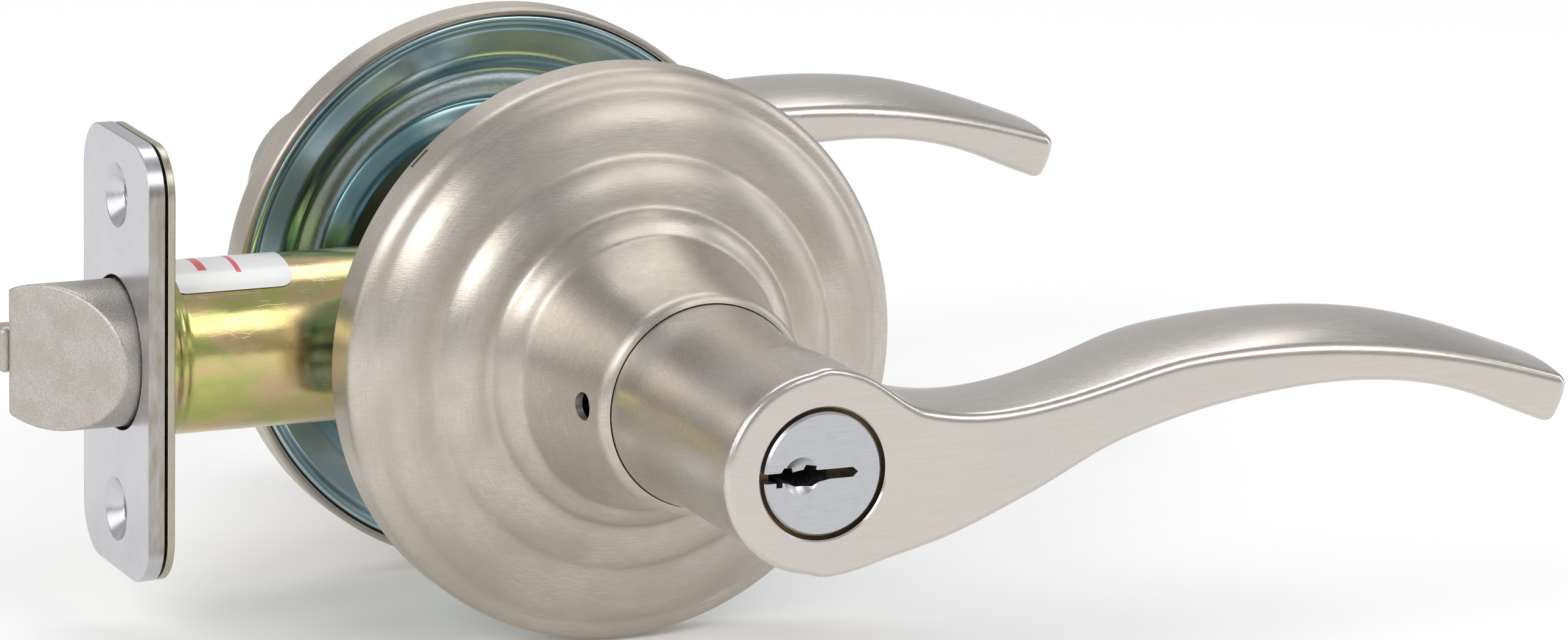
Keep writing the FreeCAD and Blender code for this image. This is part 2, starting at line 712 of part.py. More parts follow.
def latch_back_plate():
    plate = plate_blank(BACK_PLATE_X, BACK_PLATE_THICKNESS)
    plate = plate.cut(rod_x(TUBE_RADIUS, BACK_PLATE_X - 1, BACK_PLATE_X + 3))
    for z in (-SCREW_HOLE_SPACING / 2.0, SCREW_HOLE_SPACING / 2.0):
        plate = plate.cut(rod_x(SCREW_HOLE_RADIUS + LOOSE, BACK_PLATE_X - 1, BACK_PLATE_X + 3, 0, z))
    return plate


def latch_tube():
    tube = rod_x(TUBE_RADIUS, PLATE_BACK_X, TUBE_END)
    return tube.cut(rod_x(TUBE_BORE, PLATE_BACK_X - 1, TUBE_END + 1))


def latch_bolt():
    """Sloped round bolt with a flat back, along which the deadlatch plunger slides."""
    bolt = rod_x(BOLT_RADIUS, BOLT_TIP_X, BOLT_REAR_X)
    slope = (BOLT_RADIUS + BOLT_TIP_Y) / BOLT_SLOPE_LENGTH
    reach = 3.0
    wedge = [
        vec(BOLT_TIP_X - reach, BOLT_TIP_Y + slope * reach, -BOLT_RADIUS - 1),
        vec(BOLT_TIP_X + BOLT_SLOPE_LENGTH + 1, -BOLT_RADIUS - slope, -BOLT_RADIUS - 1),
        vec(BOLT_TIP_X - reach, -BOLT_RADIUS - slope, -BOLT_RADIUS - 1),
    ]
    cut = Part.Face(Part.makePolygon(wedge + [wedge[0]])).extrude(vec(0, 0, 2 * BOLT_RADIUS + 2))
    reach = BOLT_RADIUS + 1
    flat = block(BOLT_TIP_X - 1, BOLT_REAR_X + 1, PLUNGER_START_Y - SLIP, reach, -reach, reach)
    return bolt.cut(cut).cut(flat)


def deadlatch_plunger():
    half = PLUNGER_HALF_HEIGHT
    bar = rod_x(BOLT_RADIUS, PLUNGER_TIP_X, PLUNGER_TIP_X + PLUNGER_LENGTH)
    keep = block(PLUNGER_TIP_X, PLUNGER_TIP_X + PLUNGER_LENGTH, PLUNGER_START_Y, BOLT_RADIUS + 1, -half, half)
    bar = bar.common(keep)
    tip = [e for e in bar.Edges if e.BoundBox.XMax < PLUNGER_TIP_X + 0.01]
    return bar.makeFillet(0.8, tip)


def bolt_tail():
    height, thickness = TAIL_ROD
    return block(BOLT_REAR_X, BRIDGE_X[0], -thickness / 2, thickness / 2, -height / 2, height / 2)


def spring_seat():
    height, thickness = TAIL_ROD
    seat = rod_x(TUBE_BORE, SEAT_X, SEAT_X + SEAT_THICKNESS)
    half_y = thickness / 2 + LOOSE
    half_z = height / 2 + LOOSE
    return seat.cut(block(SEAT_X - 1, SEAT_X + SEAT_THICKNESS + 1, -half_y, half_y, -half_z, half_z))


def bolt_spring():
    spring = coil(BOLT_SPRING_RADIUS, BOLT_SPRING_WIRE, SEAT_X - BOLT_REAR_X, BOLT_SPRING_TURNS)
    return aimed(spring, X_AXIS, vec(BOLT_REAR_X, 0, 0))


def plunger_spring():
    rear = PLUNGER_TIP_X + PLUNGER_LENGTH
    y = 0.5 * (PLUNGER_START_Y + BOLT_RADIUS)
    spring = coil(PLUNGER_SPRING_RADIUS, PLUNGER_SPRING_WIRE, SEAT_X - rear, PLUNGER_SPRING_TURNS)
    return aimed(spring, X_AXIS, vec(rear, y, 0))


def latch_label():
    """A thin curved patch on top of the tube, near the plates."""
    start = BACK_PLATE_X + BACK_PLATE_THICKNESS + LABEL_INSET
    inner = TUBE_RADIUS + LABEL_GLUE
    ring = rod_x(inner + LABEL_THICKNESS, start, start + LABEL_LENGTH)
    ring = ring.cut(rod_x(inner, start, start + LABEL_LENGTH))
    reach = 2 * TUBE_RADIUS
    corners = [vec(start, 0, 0)]
    for step in range(5):
        angle = math.radians(LABEL_CENTRE_DEG + LABEL_ARC_DEG * (step / 4.0 - 0.5))
        corners.append(vec(start, reach * math.cos(angle), reach * math.sin(angle)))
    sector = Part.Face(Part.makePolygon(corners + [corners[0]])).extrude(vec(LABEL_LENGTH, 0, 0))
    return ring.common(sector)


def latch_case():
    half_w = CASE_HALF_WIDTH
    half_h = CASE_HALF_HEIGHT
    inner_w = half_w - CASE_WALL
    inner_h = half_h - CASE_WALL
    case = block(TUBE_END, CASE_END, -half_w, half_w, -half_h, half_h)
    case = case.cut(block(TUBE_END - 1, CASE_END - CASE_WALL, -inner_w, inner_w, -inner_h, inner_h))
    return case.cut(rod_y(CAM_RADIUS + RUNNING, -half_w - 1, half_w + 1))


def latch_cam():
    """Hub with a square hole and two arms in a V, whose tips stand behind the retractor's hooks."""
    start_angle = math.radians(LEVER_TRAVEL_DEG / 2.0)
    cam = rod_y(CAM_RADIUS, -CAM_HALF_LENGTH, CAM_HALF_LENGTH)
    half = CAM_ARM_HALF_THICKNESS
    for up in (1, -1):
        arm = block(-CAM_ARM_WIDTH / 2, CAM_ARM_WIDTH / 2, -half, half, 0, CAM_ARM_LENGTH)
        direction = vec(-math.sin(start_angle), 0, up * math.cos(start_angle))
        cam = cam.fuse(aimed(arm, direction, ORIGIN))
    square = DRIVE_SQUARE / 2.0 + RUNNING
    hole = block(-square, square, -CAM_HALF_LENGTH - 1, CAM_HALF_LENGTH + 1, -square, square)
    return cam.cut(hole)


def retractor():
    """Two side rails above and two below the cam, a bridge to the bolt tail and a hook over each arm."""
    low_z, high_z = RAIL_Z
    inner = RAIL_INNER_Y
    outer = RAIL_INNER_Y + RAIL_THICKNESS
    body = block(BRIDGE_X[0], BRIDGE_X[1], -outer, outer, -high_z, high_z)
    for up in (1, -1):
        for across in (1, -1):
            body = body.fuse(block(BRIDGE_X[0], HOOK_X[1], across * inner, across * outer, up * low_z, up * high_z))
        body = body.fuse(block(HOOK_X[0], HOOK_X[1], -outer, outer, up * (low_z + 0.4), up * high_z))
    return body.removeSplitter()


NODES = {
    "exterior_lever": exterior_lever,
    "interior_lever": interior_lever,
    "exterior_rose": lambda: rose_cover(EXTERIOR),
    "interior_rose": lambda: rose_cover(INTERIOR),
    "exterior_liner": lambda: liner(EXTERIOR),
    "interior_liner": lambda: liner(INTERIOR),
    "exterior_spring_cage": lambda: cage_cover(EXTERIOR),
    "interior_spring_cage": lambda: cage_cover(INTERIOR),
    "exterior_return_spring": lambda: return_spring(EXTERIOR),
    "interior_return_spring": lambda: return_spring(INTERIOR),
    "exterior_spindle": lambda: spindle(EXTERIOR),
    "interior_spindle": lambda: spindle(INTERIOR),
    "exterior_snap_ring": lambda: snap_ring(EXTERIOR),
    "interior_snap_ring": lambda: snap_ring(INTERIOR),
    "exterior_lever_catch": lambda: lever_catch(EXTERIOR),
    "interior_lever_catch": lambda: lever_catch(INTERIOR),
    "through_bolt_posts": through_bolt_posts,
    "through_bolts": through_bolts,
    "drive_tube": drive_tube,
    "cylinder_shell": cylinder_shell,
    "pin_cover": pin_cover,
    "key_plug": key_plug,
    "key_pins": key_pins,
    "driver_pins": driver_pins,
    "pin_springs": pin_springs,
    "plug_clip": plug_clip,
    "tailpiece": tailpiece,
    "turn_button": turn_button,
    "turn_bar": turn_bar,
    "latch_front_plate": latch_front_plate,
    "latch_back_plate": latch_back_plate,
    "latch_tube": latch_tube,
    "latch_bolt": latch_bolt,
    "deadlatch_plunger": deadlatch_plunger,
    "bolt_tail": bolt_tail,
    "spring_seat": spring_seat,
    "bolt_spring": bolt_spring,
    "plunger_spring": plunger_spring,
    "latch_label": latch_label,
    "latch_case": latch_case,
    "latch_cam": latch_cam,
    "retractor": retractor,
}


def main():
    os.makedirs("parts", exist_ok=True)
    for name, build in NODES.items():
        shape = build()
        shape.exportStep(os.path.join("parts", name + ".step"))
        print(name, "valid" if shape.isValid() else "NOT VALID", len(shape.Solids), round(shape.Volume, 1))


main()
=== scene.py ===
import json
import math

import bmesh
import bpy
import numpy as np
from mathutils import Matrix, Vector


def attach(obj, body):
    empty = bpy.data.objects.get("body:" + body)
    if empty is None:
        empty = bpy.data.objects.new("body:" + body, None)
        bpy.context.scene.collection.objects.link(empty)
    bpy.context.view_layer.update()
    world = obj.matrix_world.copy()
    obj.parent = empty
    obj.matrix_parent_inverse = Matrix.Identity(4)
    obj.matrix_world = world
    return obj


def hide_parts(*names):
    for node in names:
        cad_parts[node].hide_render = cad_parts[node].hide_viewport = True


# Looks of a keyed wave-lever lockset. Lengths here are in millimetres until a mesh is made.
# The frame is the CAD's: Y is the spindle axis with the keyed side at -Y, X the latch axis with
# the bolt at -X, +Z is up. "out" is the distance outward from a side's own door face.

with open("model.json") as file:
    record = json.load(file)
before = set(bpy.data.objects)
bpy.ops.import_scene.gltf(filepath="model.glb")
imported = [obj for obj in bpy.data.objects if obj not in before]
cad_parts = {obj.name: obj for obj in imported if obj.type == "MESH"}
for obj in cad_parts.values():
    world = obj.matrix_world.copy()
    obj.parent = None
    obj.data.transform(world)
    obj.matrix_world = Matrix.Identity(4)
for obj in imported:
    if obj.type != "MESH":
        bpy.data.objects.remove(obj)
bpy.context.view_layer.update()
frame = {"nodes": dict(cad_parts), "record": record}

MM = 0.001
HALF_DOOR = 17.45
FACE_OUT = 68.55
INTERIOR_FACE_OUT = 65.0
EXTERIOR = -1
INTERIOR = 1
FACE_Y = EXTERIOR * (HALF_DOOR + FACE_OUT)
CATCH_Y = -45.55
CATCH_HOLE_RADIUS = 1.8


# ------------------------------------------------------------------ mesh helpers

def make_object(name, points, faces, smooth=True, sharp_deg=None):
    mesh = bpy.data.meshes.new(name)
    mesh.from_pydata((np.asarray(points, float) * MM).tolist(), [], faces)
    mesh.validate()
    for polygon in mesh.polygons:
        polygon.use_smooth = smooth
    if sharp_deg is not None:
        mesh.set_sharp_from_angle(angle=math.radians(sharp_deg))
    obj = bpy.data.objects.new(name, mesh)
    bpy.context.scene.collection.objects.link(obj)
    return obj


def arc_points(start, end, bulge, step):
    """Points after start along an arc to end; the bulge is its height, to the left if positive."""
    a = np.array(start, float)
    b = np.array(end, float)
    chord = np.linalg.norm(b - a)
    if chord < 1e-9:
        return []
    count = max(1, int(math.ceil(chord / step)))
    t = np.linspace(0, 1, count + 1)[1:]
    if abs(bulge) < 1e-6:
        return [a + (b - a) * k for k in t]
    left = np.array([-(b - a)[1], (b - a)[0]]) / chord
    radius = (chord ** 2 / 4 + bulge ** 2) / (2 * abs(bulge))
    side = math.copysign(1.0, bulge)
    centre = (a + b) / 2 + left * (bulge - side * radius)
    a0 = math.atan2(*(a - centre)[::-1])
    a1 = math.atan2(*(b - centre)[::-1])
    turn = (a1 - a0 + math.pi) % (2 * math.pi) - math.pi
    return [centre + radius * np.array([math.cos(a0 + turn * k), math.sin(a0 + turn * k)]) for k in t]


def trace(start, steps, step=0.3):
    """A polyline through (x, y) or (x, y, bulge) steps."""
    points = [np.array(start, float)]
    for s in steps:
        points += arc_points(points[-1], s[:2], s[2] if len(s) > 2 else 0.0, step)
    return np.array(points)


def soften(line, spacing, radius):
    """Resample a polyline evenly and round its corners by averaging over about a radius."""
    length = np.concatenate([[0], np.cumsum(np.linalg.norm(np.diff(line, axis=0), axis=1))])
    count = max(8, int(length[-1] / spacing))
    at = np.linspace(0, length[-1], count + 1)
    even = np.stack([np.interp(at, length, line[:, k]) for k in range(2)], axis=1)
    reach = max(1, int(round(radius / spacing)))
    kernel = np.ones(2 * reach + 1) / (2 * reach + 1)
    for _ in range(2):
        head = 2 * even[0] - even[1:reach + 1][::-1]
        tail = 2 * even[-1] - even[-reach - 1:-1][::-1]
        padded = np.vstack([head, even, tail])
        even = np.stack([np.convolve(padded[:, k], kernel, "valid") for k in range(2)], axis=1)
    return even


def lathe(name, profile, closed=True, segments=256, axis="Y", **shading):
    """Turn a profile of (radius, place along the axis) points round an axis."""
    profile = np.asarray(profile, float)
    n = len(profile)
    angle = np.linspace(0, 2 * math.pi, segments, endpoint=False)
    r = profile[:, 0][:, None]
    along = np.repeat(profile[:, 1][:, None], segments, axis=1)
    across = r * np.cos(angle)[None, :]
    up = r * np.sin(angle)[None, :]
    order = (across, along, up) if axis == "Y" else (along, across, up)
    points = np.stack(order, axis=-1)
    points = points.reshape(-1, 3)
    rows = n if closed else n - 1
    i, j = np.meshgrid(np.arange(rows), np.arange(segments), indexing="ij")
    i2 = (i + 1) % n
    j2 = (j + 1) % segments
    ring = [i * segments + j, i * segments + j2, i2 * segments + j2, i2 * segments + j]
    quads = np.stack(ring, axis=-1).reshape(-1, 4)
    obj = make_object(name, points, quads.tolist(), **shading)
    outward(obj)
    return obj


def outward(obj):
    """Make a closed mesh's normals point out."""
    mesh = bmesh.new()
    mesh.from_mesh(obj.data)
    bmesh.ops.recalc_face_normals(mesh, faces=mesh.faces)
    mesh.to_mesh(obj.data)
    mesh.free()


def loft(name, ends, axis, **shading):
    """A closed solid between two (outline, place along the axis) ends with the same number of points."""
    rings = []
    for outline, place in ends:
        outline = np.asarray(outline, float)
        n = len(outline)
        across, up = outline.T
        along = np.full(n, float(place))
        order = (along, across, up) if axis == "X" else (across, along, up)
        rings.append(np.stack(order, axis=1))
    faces = [[i, (i + 1) % n, n + (i + 1) % n, n + i] for i in range(n)]
    faces += [list(range(n))[::-1], [n + i for i in range(n)]]
    obj = make_object(name, np.vstack(rings), faces, **shading)
    outward(obj)
    return obj


def prism(name, outline, axis, low, high, **shading):
    """A closed solid from a flat outline, carried along an axis."""
    return loft(name, [(outline, low), (outline, high)], axis, **shading)


def circle(radius, count, centre_a=0.0, centre_b=0.0):
    angle = np.linspace(0, 2 * math.pi, count, endpoint=False)
    return np.stack([centre_a + radius * np.cos(angle), centre_b + radius * np.sin(angle)], axis=1)


def apply_modifiers(obj):
    depsgraph = bpy.context.evaluated_depsgraph_get()
    mesh = bpy.data.meshes.new_from_object(obj.evaluated_get(depsgraph))
    obj.modifiers.clear()
    obj.data = mesh


def carve(obj, tools, sharp_deg=35):
    """Cut tools out of an object, then remove them."""
    for tool in tools:
        cut = obj.modifiers.new("cut", "BOOLEAN")
        cut.operation = "DIFFERENCE"
        cut.solver = "EXACT"
        cut.object = tool
    bpy.context.view_layer.update()
    apply_modifiers(obj)
    for tool in tools:
        bpy.data.objects.remove(tool)
    for polygon in obj.data.polygons:
        polygon.use_smooth = True
    obj.data.set_sharp_from_angle(angle=math.radians(sharp_deg))
    return obj


def round_edges(obj, width, segments=3, angle=40):
    bevel = obj.modifiers.new("edge", "BEVEL")
    bevel.width = width * MM
    bevel.segments = segments
    bevel.limit_method = "ANGLE"
    bevel.angle_limit = math.radians(angle)
    bevel.use_clamp_overlap = True
    bevel.harden_normals = True
    bpy.context.view_layer.update()
    apply_modifiers(obj)
    return obj


# ------------------------------------------------------------------ implicit solids

def spline(points):
    """Natural cubic spline through (x, y) points, as a function of x that is flat-clamped outside."""
    xs, ys = np.array(points, float).T
    n = len(xs)
    h = np.diff(xs)
    system = np.eye(n)
    rhs = np.zeros(n)
    for i in range(1, n - 1):
        system[i, i - 1] = h[i - 1]
        system[i, i] = 2 * (h[i - 1] + h[i])
        system[i, i + 1] = h[i]
        rhs[i] = 6 * ((ys[i + 1] - ys[i]) / h[i] - (ys[i] - ys[i - 1]) / h[i - 1])
    bend = np.linalg.solve(system, rhs)

    def value(x):
        x = np.clip(x, xs[0], xs[-1])
        i = np.clip(np.searchsorted(xs, x) - 1, 0, n - 2)
        a = (xs[i + 1] - x) / h[i]
        b = 1 - a
        cubic = ((a ** 3 - a) * bend[i] + (b ** 3 - b) * bend[i + 1]) * h[i] ** 2 / 6
        return a * ys[i] + b * ys[i + 1] + cubic

    return value


def meet(parts, radius):
    """Where all the fields hold, with the edges between them rounded."""
    parts = [np.asarray(p) for p in parts]
    over = sum(np.maximum(p + radius, 0) ** 2 for p in parts)
    top = parts[0]
    for p in parts[1:]:
        top = np.maximum(top, p)
    return np.sqrt(over) - radius + np.minimum(top + radius, 0)


def join(a, b, radius):
    """Where either field holds, with a fillet in the corner between them."""
    over = np.sqrt(np.maximum(radius - a, 0) ** 2 + np.maximum(radius - b, 0) ** 2)
    return np.maximum(np.minimum(a, b), radius) - over


def solid_from(name, field, low, high, cell):
    """Mesh of the surface where a field is zero: one point a cell, then moved on to the surface."""
    axes = [np.arange(a, b + cell, cell) for a, b in zip(low, high)]
    inside = field(*np.meshgrid(*axes, indexing="ij")) < 0
    corners = np.zeros(np.array(inside.shape) - 1, np.int8)
    for i in (0, 1):
        for j in (0, 1):
            for k in (0, 1):
                window = tuple(slice(o, size - 1 + o) for o, size in zip((i, j, k), inside.shape))
                corners += inside[window]
    used = (corners > 0) & (corners < 8)
    index = np.full(used.shape, -1)
    index[used] = np.arange(used.sum())
    points = np.array(low) + (np.argwhere(used) + 0.5) * cell
    quads = []
    for axis in range(3):
        first = np.take(inside, range(inside.shape[axis] - 1), axis)
        second = np.take(inside, range(1, inside.shape[axis]), axis)
        edge = np.argwhere(first != second)
        b = np.eye(3, dtype=int)[(axis + 1) % 3]
        c = np.eye(3, dtype=int)[(axis + 2) % 3]
        ring = [index[tuple((edge - s).T)] for s in (b + c, c, 0 * b, b)]
        quad = np.stack(ring, axis=1)
        backward = ~first[tuple(edge.T)]
        quad[backward] = quad[backward][:, ::-1]
        quads.append(quad)
    probe = 0.03
    for _ in range(5):
        value = field(*points.T)
        slope = np.stack([
            (field(*(points + probe * e).T) - field(*(points - probe * e).T)) / (2 * probe)
            for e in np.eye(3)], axis=1)
        move = -(value / np.maximum((slope ** 2).sum(axis=1), 0.2))[:, None] * slope
        points = points + np.clip(move, -0.6 * cell, 0.6 * cell)
    return make_object(name, points, np.vstack(quads).tolist())


def set_in(obj, shift):
    """Move the interior lever's face along Y, leaving its hub's inner end where it is."""
    face = HALF_DOOR + FACE_OUT
    still_from, taper = 36.0, 13.0
    for vertex in obj.data.vertices:
        from_face = face - vertex.co.y / MM
        share = min(max((still_from - from_face) / taper, 0.0), 1.0)
        vertex.co.y += shift * MM * share


def mirrored(obj, name):
    """A copy of an exterior-side mesh on the interior side."""
    mesh = obj.data.copy()
    mesh.transform(Matrix.Diagonal((1, -1, 1, 1)))
    mesh.flip_normals()
    mesh.name = name
    twin = bpy.data.objects.new(name, mesh)
    bpy.context.scene.collection.objects.link(twin)
    return twin


# ------------------------------------------------------------------ materials

class Finish:
    """A procedural material on the Principled shader, with object coordinates in millimetres."""

    def __init__(self, name, colour, metallic, roughness, **sockets):
        self.material = bpy.data.materials.new(name)
        self.material.use_nodes = True
        self.tree = self.material.node_tree
        self.shader = self.tree.nodes["Principled BSDF"]
        self.set("Base Color", (*colour, 1.0))
        self.set("Metallic", metallic)
        self.set("Roughness", roughness)
        for socket, value in sockets.items():
            self.set(socket.replace("_", " "), value)
        place = self.node("ShaderNodeTexCoord")
        scale = self.node("ShaderNodeVectorMath", operation="SCALE")
        scale.inputs["Scale"].default_value = 1000.0
        self.link(place.outputs["Object"], scale.inputs[0])
        self.mm = scale.outputs[0]

    def set(self, socket, value):
        self.shader.inputs[socket].default_value = value

    def node(self, kind, **properties):
        node = self.tree.nodes.new(kind)
        for key, value in properties.items():
            setattr(node, key, value)
        return node

    def link(self, a, b):
        self.tree.links.new(a, b)

    def feed(self, socket, value):
        if isinstance(value, bpy.types.NodeSocket):
            self.link(value, socket)
        else:
            socket.default_value = value

    def stretched(self, scale, turn=(0, 0, 0)):
        mapping = self.node("ShaderNodeMapping")
        mapping.inputs["Scale"].default_value = scale
        mapping.inputs["Rotation"].default_value = [math.radians(a) for a in turn]
        self.link(self.mm, mapping.inputs["Vector"])
        return mapping.outputs[0]

    def axis_radius(self, a, b):
        """Distance from the axis that two coordinates are measured across."""
        return self.math("SQRT", self.math("ADD", self.math("MULTIPLY", a, a), self.math("MULTIPLY", b, b)))

    def around(self, per_radian, per_mm):
        """Coordinates that run round the Y axis: slow along the turn, fast across it."""
        x, y, z = self.split()
        radius = self.axis_radius(x, z)
        joined = self.node("ShaderNodeCombineXYZ")
        for place, socket in zip((x, z), joined.inputs):
            unit = self.math("DIVIDE", place, self.math("MAXIMUM", radius, 0.01))
            self.link(self.math("MULTIPLY", unit, per_radian), socket)
        across = self.math("ADD", radius, y)
        self.link(self.math("MULTIPLY", across, per_mm), joined.inputs[2])
        return joined.outputs[0]

    def split(self):
        """The object coordinates' x, y and z, in millimetres."""
        split = self.node("ShaderNodeSeparateXYZ")
        self.link(self.mm, split.inputs[0])
        return tuple(split.outputs)

    def math(self, operation, a, b=0.0):
        node = self.node("ShaderNodeMath", operation=operation)
        for socket, value in zip(node.inputs, (a, b)):
            self.feed(socket, value)
        return node.outputs[0]

    def noise(self, vector, scale=1.0, detail=3.0, rough=0.55, distortion=0.0):
        node = self.node("ShaderNodeTexNoise")
        self.link(vector, node.inputs["Vector"])
        node.inputs["Scale"].default_value = scale
        node.inputs["Detail"].default_value = detail
        node.inputs["Roughness"].default_value = rough
        node.inputs["Distortion"].default_value = distortion
        return node.outputs[0]

    def cells(self, vector, scale, feature="F1"):
        node = self.node("ShaderNodeTexVoronoi", feature=feature)
        self.link(vector, node.inputs["Vector"])
        node.inputs["Scale"].default_value = scale
        return node.outputs["Distance"]

    def range(self, value, low, high, to_low, to_high):
        node = self.node("ShaderNodeMapRange", clamp=True)
        self.feed(node.inputs[0], value)
        for socket, number in zip(node.inputs[1:5], (low, high, to_low, to_high)):
            socket.default_value = number
        return node.outputs[0]

    def mix(self, factor, a, b):
        node = self.node("ShaderNodeMix", data_type="RGBA")
        self.feed(node.inputs[0], factor)
        self.feed(node.inputs[6], a if isinstance(a, bpy.types.NodeSocket) else (*a, 1.0))
        self.feed(node.inputs[7], b if isinstance(b, bpy.types.NodeSocket) else (*b, 1.0))
        return node.outputs[2]

    def ramp(self, value, stops):
        node = self.node("ShaderNodeValToRGB")
        self.link(value, node.inputs[0])
        while len(node.color_ramp.elements) < len(stops):
            node.color_ramp.elements.new(0.5)
        for element, (place, colour) in zip(node.color_ramp.elements, stops):
            element.position = place
            element.color = (*colour, 1.0)
        return node.outputs[0]

    def colour(self, value):
        self.link(value, self.shader.inputs["Base Color"])

    def roughness(self, value):
        self.link(value, self.shader.inputs["Roughness"])

    def bump(self, *layers):
        """Layers of (height, depth in mm), one on the other."""
        normal = None
        for height, depth in layers:
            node = self.node("ShaderNodeBump")
            node.inputs["Strength"].default_value = 1.0
            node.inputs["Distance"].default_value = depth * MM
            self.link(height, node.inputs["Height"])
            if normal is not None:
                self.link(normal, node.inputs["Normal"])
            normal = node.outputs[0]
        self.link(normal, self.shader.inputs["Normal"])


NICKEL = (0.58, 0.53, 0.465)


def rose_nickel():
    """Satin nickel brushed round the axis, with finer scratches lying across the turn and dark radial
    reflection streaks painted into the colour.
    """
    f = Finish("rose_satin_nickel", NICKEL, 1.0, 0.36, Anisotropic=0.85, Anisotropic_Rotation=0.25)
    tangent = f.node("ShaderNodeTangent", direction_type="RADIAL", axis="Y")
    f.link(tangent.outputs[0], f.shader.inputs["Tangent"])
    fine = f.noise(f.around(9.0, 6.0), 1.0, 4.0, 0.65)
    strokes = f.noise(f.stretched((0.35, 1.0, 5.0), (0, 22, 0)), 1.5, 4.0, 0.6, 0.3)
    # Slow noise round the turn that makes radial streaks; in the colour it paints dark reflection streaks,
    # and it also varies the roughness.
    sweep = f.noise(f.around(2.2, 0.12), 1.0, 2.0)
    both = f.math("ADD", f.math("MULTIPLY", fine, 0.5), f.math("MULTIPLY", strokes, 0.5))
    tone = f.range(both, 0.35, 0.65, 0.0, 1.0)
    base = f.mix(tone, (0.49, 0.445, 0.385), (0.67, 0.62, 0.56))
    # Painted reflection: the sweep streaks darken the colour like the dark radial lines of a brushed
    # reflection.
    f.colour(f.mix(f.range(sweep, 0.38, 0.62, 0.0, 0.6), base, (0.50, 0.45, 0.39)))
    f.roughness(f.range(f.math("ADD", both, sweep), 0.7, 1.3, 0.27, 0.42))
    f.bump((fine, 0.014), (strokes, 0.013))
    return f.material


def lever_nickel():
    """Smoother satin nickel, brushed along the lever."""
    f = Finish("lever_satin_nickel", NICKEL, 1.0, 0.2)
    lines = f.noise(f.stretched((0.10, 3.2, 5.0)), 1.0, 4.0, 0.6)
    grain = f.noise(f.stretched((2.2, 5.0, 5.0)), 1.0, 3.0, 0.6)
    broad = f.noise(f.stretched((0.05, 0.06, 0.06)), 1.0, 2.0)
    base = f.mix(f.range(lines, 0.3, 0.7, 0.0, 1.0), (0.57, 0.53, 0.475), (0.635, 0.595, 0.54))
    f.colour(f.mix(f.range(broad, 0.35, 0.65, 0.0, 0.35), base, (0.59, 0.555, 0.545)))
    f.roughness(f.range(f.math("ADD", lines, broad), 0.6, 1.4, 0.21, 0.31))
    f.bump((lines, 0.004), (grain, 0.003))
    return f.material


def plate_nickel():
    """Plated steel sheet, bright on its face and worn brown on its long edges."""
    f = Finish("faceplate_nickel", (0.60, 0.595, 0.61), 1.0, 0.24)
    broad = f.noise(f.stretched((0.12, 0.12, 0.12)), 1.0, 3.0)
    lines = f.noise(f.stretched((1.0, 5.0, 0.25)), 1.0, 4.0)
    x, y, z = f.split()
    side = f.range(f.math("ABSOLUTE", y), 12.3, 12.6, 0.0, 1.0)
    wear = f.noise(f.stretched((1.2, 1.0, 0.3)), 0.8, 3.0)
    worn = f.math("MULTIPLY", side, f.range(wear, 0.3, 0.7, 0.45, 0.95))
    base = f.mix(f.range(broad, 0.3, 0.7, 0.0, 1.0), (0.53, 0.53, 0.555), (0.61, 0.605, 0.62))
    f.colour(f.mix(worn, base, (0.33, 0.29, 0.24)))
    f.roughness(f.range(f.math("ADD", lines, broad), 0.6, 1.4, 0.16, 0.34))
    f.bump((lines, 0.003), (broad, 0.05))
    return f.material


def plug_nickel():
    """Plug face with fine scratches and a few dull spots."""
    f = Finish("plug_face_nickel", (0.60, 0.61, 0.63), 1.0, 0.3)
    lines = f.noise(f.stretched((0.22, 1.0, 7.0)), 1.0, 4.0, 0.65)
    spots = f.noise(f.mm, 0.8, 3.0)
    base = f.mix(f.range(lines, 0.3, 0.7, 0.0, 1.0), (0.47, 0.48, 0.50), (0.58, 0.585, 0.60))
    f.colour(f.mix(f.range(spots, 0.55, 0.75, 0.0, 0.35), base, (0.46, 0.45, 0.43)))
    f.roughness(f.range(lines, 0.3, 0.7, 0.25, 0.40))
    f.bump((lines, 0.012))
    return f.material


def sintered():
    """Grainy plated bolt."""
    f = Finish("bolt_sintered_steel", (0.50, 0.475, 0.44), 1.0, 0.36)
    grain = f.noise(f.mm, 5.0, 4.0, 0.7)
    pits = f.cells(f.mm, 3.2)
    broad = f.noise(f.mm, 0.25, 3.0)
    base = f.mix(f.range(grain, 0.3, 0.7, 0.0, 1.0), (0.37, 0.34, 0.31), (0.66, 0.625, 0.58))
    f.colour(f.mix(f.range(broad, 0.45, 0.65, 0.0, 0.5), base, (0.42, 0.38, 0.335)))
    f.roughness(f.range(grain, 0.3, 0.7, 0.28, 0.46))
    f.bump((grain, 0.035), (pits, 0.02))
    return f.material


